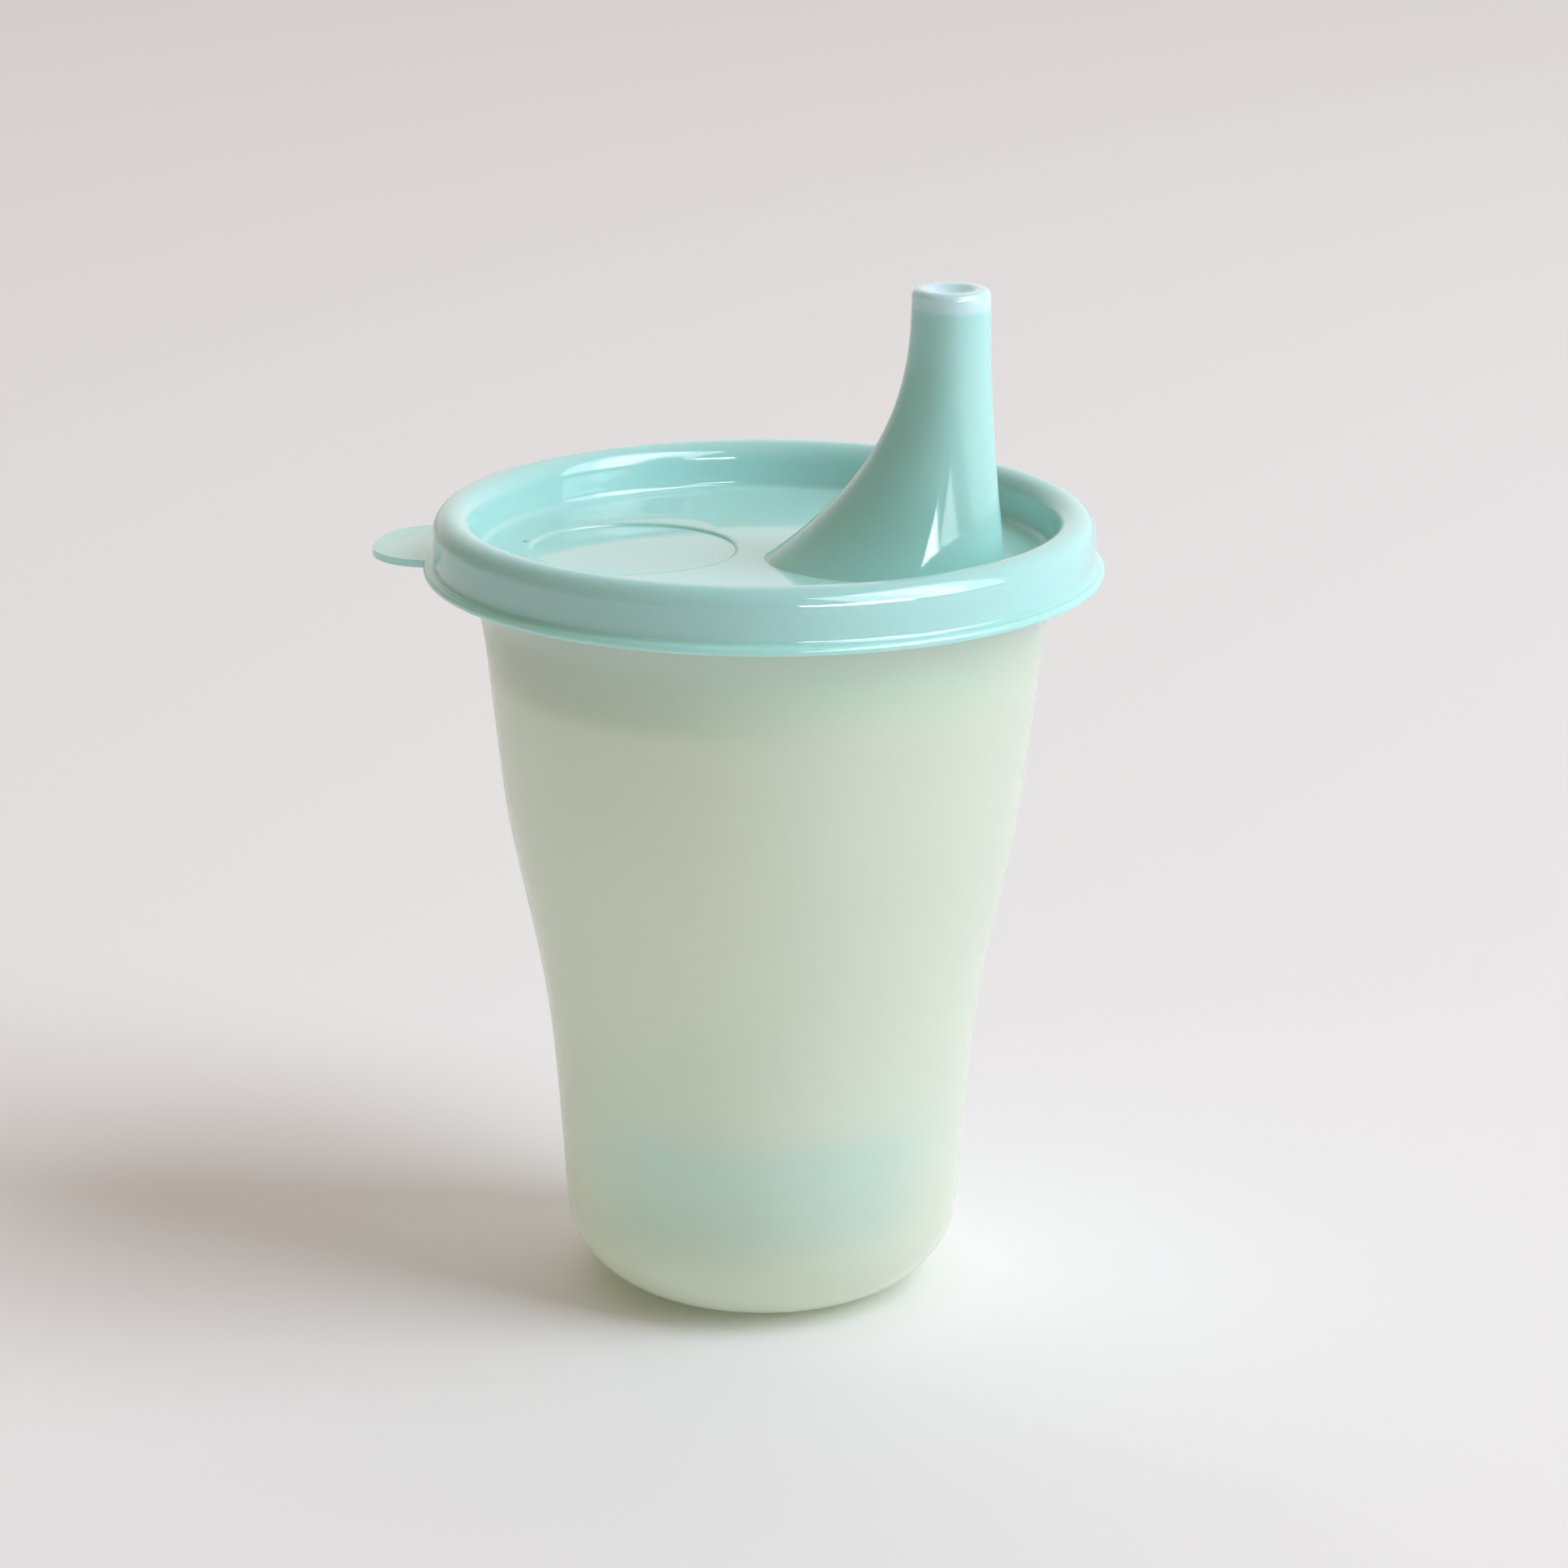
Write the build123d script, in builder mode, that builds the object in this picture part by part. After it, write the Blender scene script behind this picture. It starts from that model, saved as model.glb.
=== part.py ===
from build123d import *
import os

# Child's sippy cup: a bell-shaped tumbler and the push-on lid that carries its drinking spout.
# Millimetres, +Z up. The origin is the centre of the foot, on the surface that the cup stands on.
# +X points from the cup's axis to the spout, and the lid's pull tab points along -X.

# Tumbler
wall = 1.5                # side wall and floor
foot_r = 14.2             # flat foot, where the bottom corner begins
foot_ring = 1.6           # width of the ring that the cup stands on
foot_recess = 0.5         # depth of the recess inside the ring
gate_pad_r = 4.0          # pad at the centre of the recess, level with the ring
corner_r = 12.0           # outer radius of the bottom corner
# Outside of the bell, as (radius, height), from the bottom corner up to the flared mouth
bell = [
    (26.2, 12.0),
    (27.05, 24.0),
    (28.1, 36.0),
    (29.7, 46.0),
    (32.0, 57.0),
    (33.7, 66.0),
    (35.1, 78.0),
    (36.5, 90.0),
    (38.1, 94.0),
    (40.6, 97.2),
]
bell_starts = (0, 1)      # direction of the wall at the corner
bell_ends = (1.1, 1)      # and at the mouth, as (outwards, up)
bead_start = 98.4         # height where the rim bead reaches its full thickness
rim_top = 103.5

# Lid, at rest on the rim
crest_mid_r = 40.2        # middle of the channel that takes the rim
crest_z = 102.4           # centre height of the crest's round top
crest_r = 2.55            # outside of the crest's round top
channel_r = 1.45          # half the width of the channel
rim_gap = 0.3             # room round the rim in the channel
floor_top = 98.8          # sunken floor of the lid
floor_t = 1.3
floor_corner_r = 1.0      # between the floor and the crest's inner wall
flange_r = 44.0           # outward lip round the foot of the crest
flange_bottom = 97.0
flange_t = 1.1
flange_corner_r = 0.6
flange_edge_r = 0.5
skirt_top_r = 35.7        # plug skirt, outside, where it leaves the floor
skirt_end_r = 31.7
skirt_end = 83.0
skirt_t = 1.0
skirt_edge_r = 0.4
panel_r = 13.4            # round shallow panel in the lid's floor
panel_x = -17.4
panel_depth = 0.35
vent_x = -32.0            # air hole between the panel and the crest
vent_r = 0.45
tab_tip = 51.8            # distance of the pull tab's tip from the axis
tab_root = 42.0
tab_w = 19.7
tab_t = 1.0
tab_corner_r = 8.0

# Spout, moulded with the lid
spout_top = 134.8
spout_back = 0.2          # end nearest the axis, at the lid's floor
spout_front = 31.6        # end farthest from the axis, at the lid's floor
spout_side = 11.5         # half width at the lid's floor
tip_back = 19.05
tip_front = 29.1
tip_side = 5.0
spout_wall = 1.3
spout_roof = 0.8          # extra thickness of the wall on its leaning side
tip_cap = 2.5             # height of the closed end of the spout
tip_edge_r = 0.9
dish_r = 3.2              # round dish in the spout's end
dish_depth = 1.2
drink_hole_r = 0.5
drink_holes = 3
drink_circle_r = 1.0      # circle that the drinking holes stand on
spout_rings = 9           # sections that shape the spout
spout_overlap = 0.9       # how far the spout's foot runs down into the lid's floor
drink_hole_depth = 4.0    # deeper than the end is thick, so that the holes come out inside

floor_bottom = floor_top - floor_t
flange_top = flange_bottom + flange_t
crest_out = crest_mid_r + crest_r
crest_in = crest_mid_r - crest_r
channel_out = crest_mid_r + channel_r
channel_in = crest_mid_r - channel_r
bead_out = channel_out - rim_gap
bead_in = bell[-1][0] - wall
bead_top_r = (bead_out - bead_in) / 2
bead_z = rim_top - bead_top_r
tip_x = (tip_back + tip_front) / 2


def spout_ring(z):
    """Middle x and two half axes of the spout's oval outside at height z."""
    left = (spout_top - z) / (spout_top - floor_top)
    back = tip_back - (tip_back - spout_back) * left**2.6
    front = tip_front + (spout_front - tip_front) * left**2
    side = tip_side + (spout_side - tip_side) * left**2.2
    return (back + front) / 2, (front - back) / 2, side


def heights(low, high):
    """Heights of the spout's sections, evenly spaced from low to high."""
    step = (high - low) / (spout_rings - 1)
    return [low + step * i for i in range(spout_rings)]


with BuildPart() as tumbler:
    with BuildSketch(Plane.XZ):
        with BuildLine():
            inside = [(r - wall, z) for r, z in bell]
            Line((0, 0), (foot_r, 0))
            RadiusArc((foot_r, 0), bell[0], -corner_r)
            Spline(bell, tangents=[bell_starts, bell_ends])
            Line(bell[-1], (bead_out, bead_start))
            Line((bead_out, bead_start), (bead_out, bead_z))
            CenterArc((bead_in + bead_top_r, bead_z), bead_top_r, 0, 180)
            Line((bead_in, bead_z), inside[-1])
            Spline(inside, tangents=[bell_starts, bell_ends])
            RadiusArc(inside[0], (foot_r, wall), corner_r - wall)
            Line((foot_r, wall), (0, wall))
            Line((0, wall), (0, 0))
        make_face()
    revolve(axis=Axis.Z)
    with BuildSketch(Plane.XY):
        Circle(foot_r - foot_ring)
        Circle(gate_pad_r, mode=Mode.SUBTRACT)
    extrude(amount=foot_recess, mode=Mode.SUBTRACT)
tumbler.part.label = "tumbler"

with BuildPart() as lid:
    # Rim channel, flange, sunken floor and plug skirt, turned about the cup's axis
    with BuildSketch(Plane.XZ) as section:
        with BuildLine():
            Line((0, floor_top), (crest_in, floor_top))
            Line((crest_in, floor_top), (crest_in, crest_z))
            CenterArc((crest_mid_r, crest_z), crest_r, 0, 180)
            Line((crest_out, crest_z), (crest_out, flange_top))
            Line((crest_out, flange_top), (flange_r, flange_top))
            Line((flange_r, flange_top), (flange_r, flange_bottom))
            Line((flange_r, flange_bottom), (channel_out, flange_bottom))
            Line((channel_out, flange_bottom), (channel_out, crest_z))
            CenterArc((crest_mid_r, crest_z), channel_r, 0, 180)
            Line((channel_in, crest_z), (channel_in, floor_bottom))
            Line((channel_in, floor_bottom), (skirt_top_r, floor_bottom))
            Line((skirt_top_r, floor_bottom), (skirt_end_r, skirt_end))
            Line((skirt_end_r, skirt_end), (skirt_end_r - skirt_t, skirt_end))
            Line((skirt_end_r - skirt_t, skirt_end), (skirt_top_r - skirt_t, floor_bottom))
            Line((skirt_top_r - skirt_t, floor_bottom), (0, floor_bottom))
            Line((0, floor_bottom), (0, floor_top))
        make_face()
        rounded = [
            (crest_in, floor_top, floor_corner_r),
            (crest_out, flange_top, flange_corner_r),
            (flange_r, flange_top, flange_edge_r),
            (flange_r, flange_bottom, flange_edge_r),
            (channel_in, floor_bottom, skirt_edge_r),
            (skirt_end_r, skirt_end, skirt_edge_r),
            (skirt_end_r - skirt_t, skirt_end, skirt_edge_r),
        ]
        for r, z, corner in rounded:
            fillet(section.vertices().sort_by_distance((r, z, 0))[0], corner)
    revolve(axis=Axis.Z)

    # Pull tab, in the plane of the flange
    with BuildSketch(Plane.XY.offset(flange_bottom)) as tab:
        with Locations((-(tab_tip + tab_root) / 2, 0)):
            Rectangle(tab_tip - tab_root, tab_w)
        fillet(tab.vertices().group_by(Axis.X)[0], tab_corner_r)
    extrude(amount=tab_t)

    # Spout: an oval that narrows and draws in to a round tip, hollow from below
    for z in heights(floor_top - spout_overlap, spout_top):
        middle, along, across = spout_ring(z)
        with BuildSketch(Plane.XY.offset(z)):
            with Locations((middle, 0)):
                Ellipse(along, across)
    loft()
    tip_rim = lid.faces().sort_by(Axis.Z)[-1].edges()
    fillet(tip_rim, tip_edge_r)
    for z in heights(floor_bottom, spout_top - tip_cap):
        middle, along, across = spout_ring(z + spout_roof)
        with BuildSketch(Plane.XY.offset(z)):
            with Locations((middle, 0)):
                Ellipse(along - spout_wall, across - spout_wall)
    loft(mode=Mode.SUBTRACT)

    # Dish and drinking holes in the tip
    dish_ball_r = (dish_r**2 + dish_depth**2) / (2 * dish_depth)
    with Locations((tip_x, 0, spout_top - dish_depth + dish_ball_r)):
        Sphere(dish_ball_r, mode=Mode.SUBTRACT)
    with BuildSketch(Plane.XY.offset(spout_top)):
        with Locations((tip_x, 0)):
            with PolarLocations(drink_circle_r, drink_holes):
                Circle(drink_hole_r)
    extrude(amount=-drink_hole_depth, mode=Mode.SUBTRACT)

    # Round panel and air hole in the floor
    with BuildSketch(Plane.XY.offset(floor_top)):
        with Locations((panel_x, 0)):
            Circle(panel_r)
    extrude(amount=-panel_depth, mode=Mode.SUBTRACT)
    with BuildSketch(Plane.XY.offset(floor_top)):
        with Locations((vent_x, 0)):
            Circle(vent_r)
    extrude(amount=-floor_t, mode=Mode.SUBTRACT)
lid.part.label = "lid"

os.makedirs("parts", exist_ok=True)
export_step(tumbler.part, "parts/tumbler.step")
export_step(lid.part, "parts/lid.step")
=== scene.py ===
import math

import bpy
from mathutils import Matrix, Vector


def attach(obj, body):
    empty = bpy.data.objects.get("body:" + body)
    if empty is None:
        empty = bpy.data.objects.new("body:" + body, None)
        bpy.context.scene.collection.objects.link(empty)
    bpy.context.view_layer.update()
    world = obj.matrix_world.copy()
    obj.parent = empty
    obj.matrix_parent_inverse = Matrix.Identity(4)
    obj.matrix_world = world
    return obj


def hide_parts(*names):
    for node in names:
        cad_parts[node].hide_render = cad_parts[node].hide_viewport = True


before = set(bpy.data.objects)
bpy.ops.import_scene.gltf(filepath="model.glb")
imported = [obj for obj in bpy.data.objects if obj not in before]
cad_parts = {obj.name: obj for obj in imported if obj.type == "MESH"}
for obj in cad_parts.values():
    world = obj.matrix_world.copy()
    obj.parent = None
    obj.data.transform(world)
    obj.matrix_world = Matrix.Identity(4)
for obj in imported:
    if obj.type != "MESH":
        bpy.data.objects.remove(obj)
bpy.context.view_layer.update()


# ---- Camera ------------------------------------------------------------------------------------
# It stands 0.6 m in front of the cup and looks a little down on the lid, with the spout to the right
# and turned slightly forward. A long lens keeps the sides of the cup nearly parallel.
camera_data = bpy.data.cameras.new("camera")
camera_data.sensor_width = 36.0
camera_data.lens = 111.8
camera = bpy.data.objects.new("camera", camera_data)
bpy.context.scene.collection.objects.link(camera)
bpy.context.scene.camera = camera
camera_turn = Matrix.Rotation(math.radians(12.0), 4, "Z")
camera_tilt = Matrix.Rotation(math.radians(90.0 - 16.783), 4, "X")
camera_roll = Matrix.Rotation(math.radians(0.242), 4, "Z")
camera_place = Matrix.Translation((0.12968, -0.59721, 0.25215))
camera.matrix_world = camera_place @ camera_turn @ camera_tilt @ camera_roll


# ---- Tumbler -----------------------------------------------------------------------------------
# The bell-shaped cup is one injection moulding in milky, translucent pale green plastic. It has a
# slightly recessed foot, a large bottom radius, a 1.5 mm wall and a thick round rim.
mm = 0.001


def arc(centre, radius, start, end, steps=8):
    """Points on a round corner of an outline, from one angle in degrees to the other."""
    points = []
    for i in range(steps + 1):
        angle = math.radians(start + (end - start) * i / steps)
        points.append((centre[0] + radius * math.cos(angle), centre[1] + radius * math.sin(angle)))
    return points


def smooth(points, steps=5):
    """Points on the smooth curve that runs through the given ones."""
    padded = [points[0], *points, points[-1]]
    curve = []
    for before, here, there, after in zip(padded, padded[1:], padded[2:], padded[3:]):
        for i in range(steps):
            t = i / steps
            point = []
            for a, b, c, d in zip(before, here, there, after):
                bend = (2 * a - 5 * b + 4 * c - d) * t**2 + (3 * b - a - 3 * c + d) * t**3
                point.append(b + ((c - a) * t + bend) / 2)
            curve.append(tuple(point))
    return curve + [points[-1]]


def stack(name, rings, around):
    """A closed shell made ring by ring: each ring is (middle x, half length, half width, height) in mm."""
    bpy.ops.object.select_all(action="DESELECT")
    bpy.ops.mesh.primitive_circle_add(vertices=around, radius=mm, fill_type="TRIFAN", enter_editmode=True)
    made = bpy.context.object
    made.name = name
    middle, along, across, height = rings[0]
    bpy.ops.mesh.select_all(action="SELECT")
    bpy.ops.transform.resize(value=(along, across, 1), center_override=(0, 0, 0))
    bpy.ops.transform.translate(value=(middle * mm, 0, height * mm))
    bpy.ops.mesh.select_mode(type="EDGE")
    bpy.ops.mesh.region_to_loop()
    for ring in rings[1:]:
        step = ((ring[0] - middle) * mm, 0, (ring[3] - height) * mm)
        bpy.ops.mesh.extrude_edges_move(TRANSFORM_OT_translate={"value": step})
        grow = (ring[1] / along, ring[2] / across, 1)
        middle, along, across, height = ring
        bpy.ops.transform.resize(value=grow, center_override=(middle * mm, 0, height * mm))
    bpy.ops.mesh.extrude_edges_move()
    bpy.ops.mesh.merge(type="CENTER")
    bpy.ops.mesh.select_all(action="SELECT")
    bpy.ops.mesh.normals_make_consistent(inside=False)
    bpy.ops.object.mode_set(mode="OBJECT")
    return made


def turned(name, outline, around):
    """A shell turned about the cup's axis from its outline of (radius, height) points in mm."""
    return stack(name, [(0, r, r, z) for r, z in outline], around)


wall = 1.5
foot_r = 14.2
corner_r = 12.0
bell = [
    (26.2, 12.0),
    (27.05, 24.0),
    (28.1, 36.0),
    (29.7, 46.0),
    (32.0, 57.0),
    (33.7, 66.0),
    (35.1, 78.0),
    (36.5, 90.0),
    (38.1, 94.0),
    (40.6, 97.2),
]
bead_r = 1.125
bead_mid = (40.225, 102.375)
outside = smooth(bell)
inside = [(r - wall, z) for r, z in outside]
tumbler_outline = [(3.6, 0.0), (4.0, 0.15), (4.3, 0.5), (12.2, 0.5), (12.6, 0.15), (13.0, 0.0)]
tumbler_outline += arc((foot_r, corner_r), corner_r, -90, -3, 14)
tumbler_outline += outside
tumbler_outline += [(41.2, 98.1), (41.35, 98.5), (41.35, 100.4)]
tumbler_outline += arc(bead_mid, bead_r, 0, 180, 12)
tumbler_outline += [(39.1, 100.0)]
tumbler_outline += inside[::-1]
tumbler_outline += arc((foot_r, corner_r), corner_r - wall, -3, -90, 12)
tumbler_outline += [(2.0, wall)]
tumbler = turned("tumbler_shell", tumbler_outline, 160)
bpy.ops.object.shade_smooth_by_angle(angle=math.radians(35))


def moulded_group():
    """Surface of a polished moulding: faint upright flow lines and a slow, cloudy drift."""
    group = bpy.data.node_groups.new("moulded_surface", "ShaderNodeTree")
    group.interface.new_socket("Flow Scale", in_out="INPUT", socket_type="NodeSocketFloat")
    group.interface.new_socket("Flow", in_out="OUTPUT", socket_type="NodeSocketFloat")
    group.interface.new_socket("Cloud", in_out="OUTPUT", socket_type="NodeSocketFloat")
    nodes = group.nodes
    wires = group.links
    given = nodes.new("NodeGroupInput")
    result = nodes.new("NodeGroupOutput")
    place = nodes.new("ShaderNodeTexCoord")
    squeeze = nodes.new("ShaderNodeMapping")
    squeeze.inputs["Scale"].default_value = (1.0, 1.0, 0.1)
    wires.new(place.outputs["Object"], squeeze.inputs["Vector"])
    flow = nodes.new("ShaderNodeTexNoise")
    flow.inputs["Detail"].default_value = 2.0
    wires.new(squeeze.outputs["Vector"], flow.inputs["Vector"])
    wires.new(given.outputs["Flow Scale"], flow.inputs["Scale"])
    cloud = nodes.new("ShaderNodeTexNoise")
    cloud.inputs["Detail"].default_value = 1.0
    cloud.inputs["Scale"].default_value = 14.0
    wires.new(place.outputs["Object"], cloud.inputs["Vector"])
    wires.new(flow.outputs["Fac"], result.inputs["Flow"])
    wires.new(cloud.outputs["Fac"], result.inputs["Cloud"])
    return group


moulded = moulded_group()


def plastic(name, light, deep, roughness, flow_scale):
    """A moulded, milky plastic whose colour drifts between two shades. Returns it with its shader."""
    material = bpy.data.materials.new(name)
    material.use_nodes = True
    nodes = material.node_tree.nodes
    wires = material.node_tree.links
    shader = nodes["Principled BSDF"]
    surface = nodes.new("ShaderNodeGroup")
    surface.node_tree = moulded
    surface.inputs["Flow Scale"].default_value = flow_scale
    tint = nodes.new("ShaderNodeMix")
    tint.data_type = "RGBA"
    tint.inputs["A"].default_value = light
    tint.inputs["B"].default_value = deep
    wires.new(surface.outputs["Cloud"], tint.inputs["Factor"])
    wires.new(tint.outputs["Result"], shader.inputs["Base Color"])
    polish = nodes.new("ShaderNodeMapRange")
    polish.inputs["To Min"].default_value = roughness[0]
    polish.inputs["To Max"].default_value = roughness[1]
    wires.new(surface.outputs["Flow"], polish.inputs["Value"])
    wires.new(polish.outputs["Result"], shader.inputs["Roughness"])
    bump = nodes.new("ShaderNodeBump")
    bump.inputs["Strength"].default_value = 0.04
    bump.inputs["Distance"].default_value = 0.0004
    wires.new(surface.outputs["Flow"], bump.inputs["Height"])
    wires.new(bump.outputs["Normal"], shader.inputs["Normal"])
    # Light inside the wall leaves it unhindered: only the faces turned towards it blur and scatter it.
    side = nodes.new("ShaderNodeNewGeometry")
    facing = nodes.new("ShaderNodeMath")
    facing.operation = "SUBTRACT"
    facing.inputs[0].default_value = 1.0
    wires.new(side.outputs["Backfacing"], facing.inputs[1])
    wires.new(facing.outputs["Value"], shader.inputs["Alpha"])
    return material, shader


milky, milky_shader = plastic(
    "milky_green_plastic", (0.73, 0.80, 0.68, 1), (0.71, 0.78, 0.65, 1), (0.60, 0.68), 90.0
)
milky_shader.inputs["IOR"].default_value = 1.45
milky_shader.inputs["Transmission Weight"].default_value = 0.36
milky_shader.inputs["Subsurface Weight"].default_value = 1.0
milky_shader.inputs["Subsurface Radius"].default_value = (1.0, 1.0, 1.0)
milky_shader.inputs["Subsurface Scale"].default_value = 0.004
milky_shader.inputs["Coat Weight"].default_value = 0.5
milky_shader.inputs["Coat Roughness"].default_value = 0.12


def height_of(material):
    """The height of each point on a piece, in metres, for use in its material."""
    nodes = material.node_tree.nodes
    place = nodes.new("ShaderNodeTexCoord")
    parts = nodes.new("ShaderNodeSeparateXYZ")
    material.node_tree.links.new(place.outputs["Object"], parts.inputs["Vector"])
    return parts.outputs["Z"]


def lay_over(material, amount):
    """Puts a mix before the base colour, led by amount. Returns the socket for the colour laid over it."""
    wires = material.node_tree.links
    base = material.node_tree.nodes["Principled BSDF"].inputs["Base Color"]
    mix = material.node_tree.nodes.new("ShaderNodeMix")
    mix.data_type = "RGBA"
    wires.new(base.links[0].from_socket, mix.inputs["A"])
    wires.new(amount, mix.inputs["Factor"])
    wires.new(mix.outputs["Result"], base)
    return mix.inputs["B"]


def paint_foot_shade_and_light(material):
    """Paints shade and light onto the lowest part by height: an olive painted contact shadow where it
    stands, painted light at the pale corner, and a cooler painted shade above it.
    """
    nodes = material.node_tree.nodes
    wires = material.node_tree.links
    full_height = 40.0
    level = nodes.new("ShaderNodeMapRange")
    level.inputs["From Max"].default_value = full_height * mm
    wires.new(height_of(material), level.inputs["Value"])
    shades = nodes.new("ShaderNodeValToRGB")
    shades.color_ramp.interpolation = "EASE"
    stops = shades.color_ramp.elements
    stops[0].position = 2.2 / full_height
    stops[0].color = (0.48, 0.54, 0.24, 1)
    stops[1].position = 31.0 / full_height
    stops[1].color = (0.59, 0.77, 0.70, 0)
    for height, colour in (
        (4.0, (0.73, 0.82, 0.63, 1)),
        (8.0, (0.72, 0.82, 0.67, 1)),
        (17.0, (0.59, 0.76, 0.69, 1)),
        (24.0, (0.59, 0.77, 0.70, 1)),
    ):
        stops.new(height / full_height).color = colour
    wires.new(level.outputs["Result"], shades.inputs["Fac"])
    # The painted shade and light stand for what lies inside the wall, so they fade out where the wall is
    # seen edge on.
    slant = nodes.new("ShaderNodeLayerWeight")
    slant.inputs["Blend"].default_value = 0.5
    shown = nodes.new("ShaderNodeMapRange")
    shown.interpolation_type = "SMOOTHSTEP"
    shown.inputs["From Min"].default_value = 0.65
    shown.inputs["From Max"].default_value = 0.20
    wires.new(slant.outputs["Facing"], shown.inputs["Value"])
    amount = nodes.new("ShaderNodeMath")
    amount.operation = "MULTIPLY"
    wires.new(shades.outputs["Alpha"], amount.inputs[0])
    wires.new(shown.outputs["Result"], amount.inputs[1])
    wires.new(shades.outputs["Color"], lay_over(material, amount.outputs["Value"]))


# Painted shade and light at the foot: a contact shadow, a lit corner and a shaded band above it.
paint_foot_shade_and_light(milky)
tumbler.data.materials.append(milky)
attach(tumbler, "tumbler")
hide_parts("tumbler")


# ---- Lid ---------------------------------------------------------------------------------------
# The push-on lid is one moulding in glossy mint plastic: a round channel that grips the rim, a flange
# with the pull tab, a sunken floor with a shallow round panel, a plug skirt and the hollow spout.
crest_mid = (40.2, 102.4)
crest_r = 2.55
channel_r = 1.45
floor_top = 98.8
floor_under = 97.5
flange_r = 44.0
flange_low = 97.0
flange_high = 98.1
crest_in = crest_mid[0] - crest_r
crest_out = crest_mid[0] + crest_r
channel_in = crest_mid[0] - channel_r
channel_out = crest_mid[0] + channel_r
skirt_top = (36.2, 35.7, 34.7, 34.3)
skirt_mid = 90.2
skirt_end = 83.0
skirt_edge_r = 0.42

lid_outline = [(2.0, floor_top), (crest_in - 1.6, floor_top)]
lid_outline += arc((crest_in - 1.0, floor_top + 1.0), 1.0, -90, 0, 6)
lid_outline += arc(crest_mid, crest_r, 180, 0, 20)
lid_outline += [(crest_out, flange_high + 1.4)]
lid_outline += arc((crest_out + 0.6, flange_high + 0.6), 0.6, 180, 270, 5)
lid_outline += arc((flange_r - 0.5, flange_high - 0.5), 0.5, 90, 0, 5)
lid_outline += arc((flange_r - 0.5, flange_low + 0.5), 0.5, 0, -90, 5)
lid_outline += [(channel_out + 0.3, flange_low), (channel_out, flange_low + 0.3)]
lid_outline += arc(crest_mid, channel_r, 0, 180, 16)
lid_outline += [(channel_in, floor_under + 0.8)]
lid_outline += arc((channel_in - 0.4, floor_under + 0.4), 0.4, 0, -90, 4)
lid_outline += [(skirt_top[0], floor_under), (skirt_top[1], floor_under - 0.4), (33.7, skirt_mid)]
lid_outline += arc((31.3, skirt_end + 0.4), skirt_edge_r, 15, -90, 4)
lid_outline += arc((31.1, skirt_end + 0.4), skirt_edge_r, -90, -165, 4)
lid_outline += [(32.7, skirt_mid), (skirt_top[2], floor_under - 0.4), (skirt_top[3], floor_under)]
lid_outline += [(2.0, floor_under)]
lid = turned("lid_shell", lid_outline, 192)

# The pull tab stands out from the flange, opposite the spout, with a round end.
tab_tip = 51.8
tab_root = 42.2
tab_half = 9.85
tab_round = 8.0
tab_thick = 1.0
tab_lift = 0.02

# The spout is an oval that leans and draws in from a wide root to a round tip near the lid's edge.
spout_top = 134.8
spout_back = 0.2
spout_front = 31.6
spout_side = 11.5
tip_back = 19.05
tip_front = 29.1
tip_side = 5.0
spout_wall = 1.3
tip_cap = 2.5


def spout_ring(z, inset=0.0):
    """The spout's oval at height z, drawn in by inset on all sides."""
    left = max((spout_top - z) / (spout_top - floor_top), 0.0)
    back = tip_back - (tip_back - spout_back) * left**2.6
    front = tip_front + (spout_front - tip_front) * left**2
    side = tip_side + (spout_side - tip_side) * left**2.2
    return ((back + front) / 2, (front - back) / 2 - inset, side - inset, z)


def cut(piece, tool, operation):
    """Joins a tool shape to a piece or cuts it away, and removes the tool."""
    bpy.ops.object.select_all(action="DESELECT")
    bpy.context.view_layer.objects.active = piece
    modifier = piece.modifiers.new("cut", "BOOLEAN")
    modifier.operation = operation
    modifier.solver = "EXACT"
    modifier.object = tool
    bpy.ops.object.modifier_apply(modifier="cut")
    bpy.data.objects.remove(tool)


tip_edge = 0.9
dish_r = 3.2
dish_depth = 1.2
spout_low = floor_top - 0.8
spout_rings = []
rise = 28
for i in range(rise + 1):
    spout_rings.append(spout_ring(spout_low + (spout_top - tip_edge - spout_low) * i / rise))
tip_mid = spout_ring(spout_top)[0]
for r, z in arc((tip_side - tip_edge, spout_top - tip_edge), tip_edge, 10, 90, 7):
    spout_rings.append((tip_mid, r, r, z))
dish_lip = 0.3
dish_ball = (dish_r**2 + dish_depth**2) / (2 * dish_depth)
dish_angle = math.degrees(math.asin(dish_r / dish_ball))
spout_rings.append((tip_mid, dish_r + dish_lip, dish_r + dish_lip, spout_top))
for r, z in arc((0, spout_top - dish_depth + dish_ball), dish_ball, -90 + dish_angle * 0.97, -86, 8):
    spout_rings.append((tip_mid, r, r, z))
spout = stack("spout_outside", spout_rings, 96)
cut(lid, spout, "UNION")

hollow_low = floor_under - 0.5
hollow_high = spout_top - tip_cap
hollow_rings = []
for i in range(rise + 1):
    z = hollow_low + (hollow_high - hollow_low) * i / rise
    middle, along, across, _ = spout_ring(z + 0.8, spout_wall)
    hollow_rings.append((middle, along, across, z))
hollow = stack("spout_hollow", hollow_rings, 96)
cut(lid, hollow, "DIFFERENCE")

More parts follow.
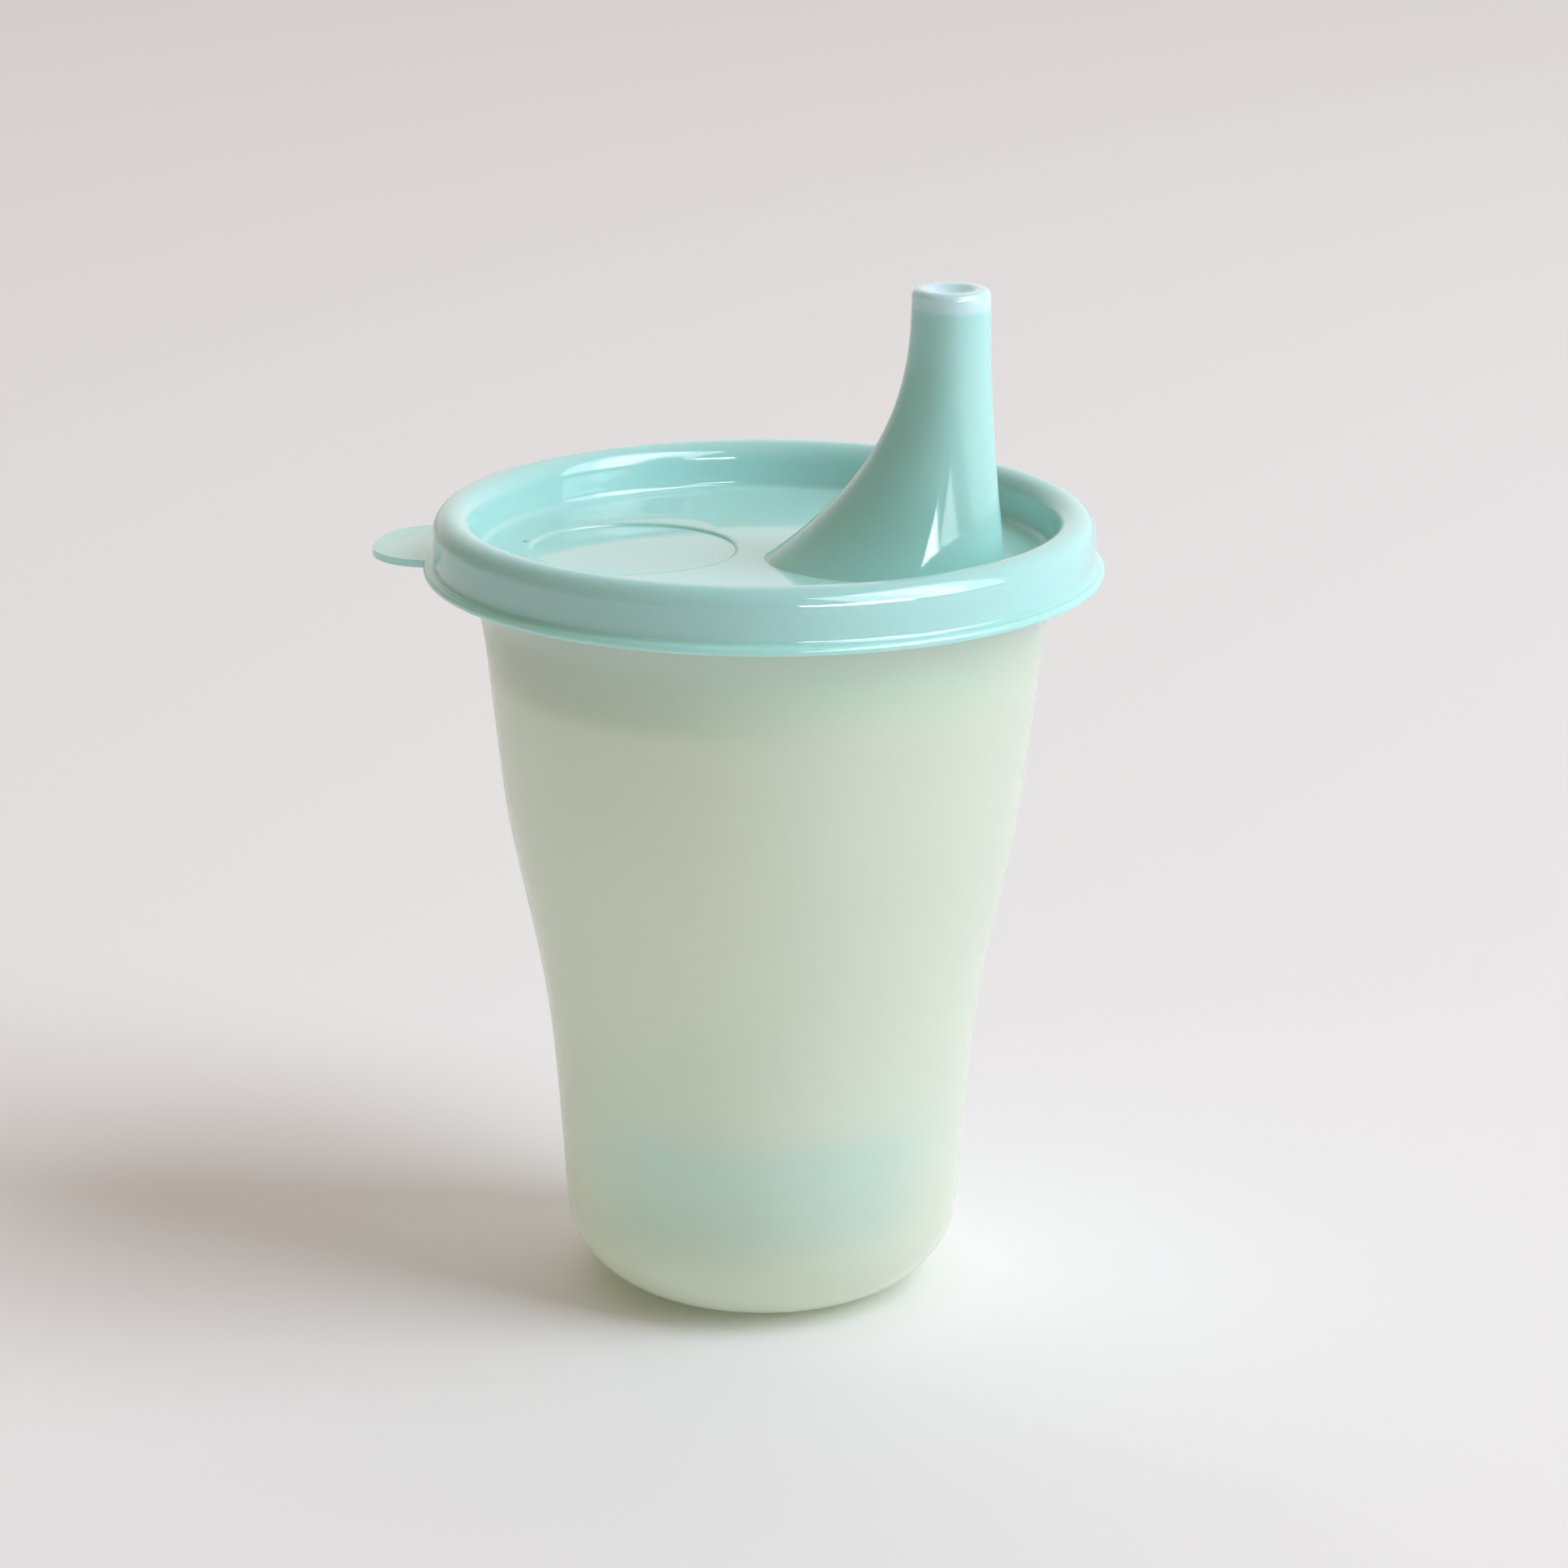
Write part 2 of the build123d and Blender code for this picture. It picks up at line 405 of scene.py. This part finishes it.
bpy.ops.object.select_all(action="DESELECT")
bpy.ops.mesh.primitive_cube_add(size=mm)
tab = bpy.context.object
tab.name = "pull_tab"
tab_mid = (tab_tip + tab_root) / 2
bpy.ops.object.mode_set(mode="EDIT")
bpy.ops.transform.resize(value=(tab_tip - tab_root, 2 * tab_half, tab_thick), center_override=(0, 0, 0))
bpy.ops.transform.translate(value=(-tab_mid * mm, 0, (flange_low + tab_thick / 2 + tab_lift) * mm))
bpy.ops.mesh.select_all(action="DESELECT")
bpy.ops.mesh.select_mode(type="EDGE")
bpy.ops.object.mode_set(mode="OBJECT")
for edge in tab.data.edges:
    ends = [tab.data.vertices[v].co for v in edge.vertices]
    edge.select = all(end.x < -tab_mid * mm for end in ends) and abs(ends[0].y - ends[1].y) < mm
bpy.ops.object.mode_set(mode="EDIT")
bpy.ops.mesh.bevel(offset=tab_round * mm, segments=16, affect="EDGES")
bpy.ops.mesh.select_all(action="SELECT")
bpy.ops.mesh.normals_make_consistent(inside=False)
bpy.ops.object.mode_set(mode="OBJECT")
cut(lid, tab, "UNION")

# The drinking holes run down through the spout's thick end, and an air hole goes through the floor.
hole_r = 0.5
hole_circle_r = 1.0
hole_depth = 5.0
hole_mid_z = 133.0
vent_r = 0.45
vent_x = -32.0
vent_depth = 4.0
for turn in (0.0, 120.0, 240.0):
    x = tip_mid + hole_circle_r * math.cos(math.radians(turn))
    y = hole_circle_r * math.sin(math.radians(turn))
    bpy.ops.object.select_all(action="DESELECT")
    bpy.ops.mesh.primitive_cylinder_add(
        vertices=24, radius=hole_r * mm, depth=hole_depth * mm, location=(x * mm, y * mm, hole_mid_z * mm)
    )
    cut(lid, bpy.context.object, "DIFFERENCE")
bpy.ops.object.select_all(action="DESELECT")
bpy.ops.mesh.primitive_cylinder_add(
    vertices=20, radius=vent_r * mm, depth=vent_depth * mm, location=(vent_x * mm, 0, floor_top * mm)
)
cut(lid, bpy.context.object, "DIFFERENCE")

# The round panel is sunk into the floor between the spout and the tab, with a softly rounded lip.
panel_r = 13.4
panel_x = -17.4
panel_depth = 0.35
panel_rings = [
    (panel_x, panel_r - 0.12, panel_r - 0.12, floor_top - panel_depth),
    (panel_x, panel_r - 0.05, panel_r - 0.05, floor_top - panel_depth + 0.12),
    (panel_x, panel_r, panel_r, floor_top - 0.14),
    (panel_x, panel_r + 0.15, panel_r + 0.15, floor_top - 0.05),
    (panel_x, panel_r + 0.5, panel_r + 0.5, floor_top),
    (panel_x, panel_r + 0.5, panel_r + 0.5, floor_top + 1.0),
]
cut(lid, stack("panel_tool", panel_rings, 96), "DIFFERENCE")
bpy.ops.object.select_all(action="DESELECT")
lid.select_set(True)
bpy.context.view_layer.objects.active = lid
bpy.ops.object.mode_set(mode="EDIT")
bpy.ops.mesh.select_all(action="SELECT")
bpy.ops.mesh.remove_doubles(threshold=0.002 * mm)
bpy.ops.mesh.dissolve_degenerate(threshold=0.001 * mm)
bpy.ops.mesh.normals_make_consistent(inside=False)
bpy.ops.object.mode_set(mode="OBJECT")
bpy.ops.object.shade_smooth_by_angle(angle=math.radians(35))

mint, mint_shader = plastic(
    "glossy_mint_plastic", (0.48, 0.81, 0.775, 1), (0.46, 0.79, 0.755, 1), (0.05, 0.08), 60.0
)
mint_shader.inputs["IOR"].default_value = 1.5
mint_shader.inputs["Subsurface Weight"].default_value = 0.6
mint_shader.inputs["Subsurface Radius"].default_value = (0.5, 1.5, 0.9)
mint_shader.inputs["Subsurface Scale"].default_value = 0.0015
mint_shader.inputs["Transmission Weight"].default_value = 0.05


def paint_light_by_height(material, colour, start, end):
    """Paints light into the base colour: paler from one height in mm to the other, where more light comes
    through.
    """
    ramp = material.node_tree.nodes.new("ShaderNodeMapRange")
    ramp.interpolation_type = "SMOOTHSTEP"
    ramp.inputs["From Min"].default_value = start * mm
    ramp.inputs["From Max"].default_value = end * mm
    material.node_tree.links.new(height_of(material), ramp.inputs["Value"])
    lay_over(material, ramp.outputs["Result"]).default_value = colour


# Painted light: the closed end of the spout is clear enough to let light through, and that light is painted
# in as a paler colour; the thin end of the skirt is painted paler in the same way.
cap_blend = 0.4
paint_light_by_height(mint, (0.64, 0.87, 0.92, 1), spout_top - tip_cap - cap_blend, spout_top - tip_cap + cap_blend)
paint_light_by_height(mint, (0.68, 0.84, 0.75, 1), 96.0, skirt_end)
lid.data.materials.append(mint)
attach(lid, "lid")
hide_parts("lid")


# ---- Floor and light ---------------------------------------------------------------------------
# A plain pale sheet runs out behind the cup. A tall window to the right lights it, warm light from the
# room fills the shadows, and the room is brighter behind the cup than in front of it.
bpy.ops.object.select_all(action="DESELECT")
bpy.ops.mesh.primitive_grid_add(x_subdivisions=8, y_subdivisions=8, size=8)
floor = bpy.context.object
floor.name = "floor"
sheet = bpy.data.materials.new("pale_sheet")
sheet.use_nodes = True
sheet_shader = sheet.node_tree.nodes["Principled BSDF"]
sheet_shader.inputs["Base Color"].default_value = (0.90, 0.90, 0.90, 1)
sheet_shader.inputs["Roughness"].default_value = 0.8
floor.data.materials.append(sheet)

room = bpy.data.worlds.new("room")
bpy.context.scene.world = room
room.use_nodes = True
room_nodes = room.node_tree.nodes
room_wires = room.node_tree.links
gaze = room_nodes.new("ShaderNodeTexCoord")
behind = room_nodes.new("ShaderNodeVectorMath")
behind.operation = "DOT_PRODUCT"
behind.inputs[1].default_value = (0.10, 0.97, 0.22)
room_wires.new(gaze.outputs["Generated"], behind.inputs[0])
glow = room_nodes.new("ShaderNodeMapRange")
glow.interpolation_type = "SMOOTHSTEP"
glow.inputs["From Min"].default_value = 0.2
room_wires.new(behind.outputs["Value"], glow.inputs["Value"])
walls = room_nodes.new("ShaderNodeMix")
walls.data_type = "RGBA"
walls.inputs["A"].default_value = (0.285, 0.215, 0.165, 1)
walls.inputs["B"].default_value = (1.10, 1.01, 1.00, 1)
room_wires.new(glow.outputs["Result"], walls.inputs["Factor"])
room_wires.new(walls.outputs["Result"], room_nodes["Background"].inputs["Color"])


def lamp(name, azimuth, elevation, distance, size, power, colour):
    """A soft lamp, as wide and high as size says, that points at the middle of the cup."""
    data = bpy.data.lights.new(name, "AREA")
    data.shape = "RECTANGLE"
    data.size, data.size_y = size
    data.energy = power
    data.color = colour
    placed = bpy.data.objects.new(name, data)
    bpy.context.scene.collection.objects.link(placed)
    a = math.radians(azimuth)
    e = math.radians(elevation)
    target = Vector((0, 0, 0.06))
    aim = Vector((math.cos(a) * math.cos(e), math.sin(a) * math.cos(e), math.sin(e)))
    placed.location = target + aim * distance
    placed.rotation_mode = "QUATERNION"
    placed.rotation_quaternion = aim.to_track_quat("Z", "Y")
    return placed


lamp("window_light", -4.0, 37.0, 3.0, (1.80, 3.20), 91.0, (0.81, 0.90, 1.0))
# The panes and the glow show only as highlights on the gloss.
for seen in (
    lamp("window_upper_pane", -46.0, 14.0, 2.0, (1.40, 0.34), 27.0, (0.90, 0.96, 1.0)),
    lamp("window_lower_pane", -40.0, 6.0, 2.0, (1.00, 0.16), 3.0, (0.90, 0.96, 1.0)),
    lamp("window_glow", -25.0, 35.0, 2.5, (1.90, 2.30), 88.0, (0.90, 0.96, 1.0)),
):
    seen.visible_diffuse = False
    seen.visible_transmission = False

bpy.context.scene.view_settings.view_transform = "Standard"
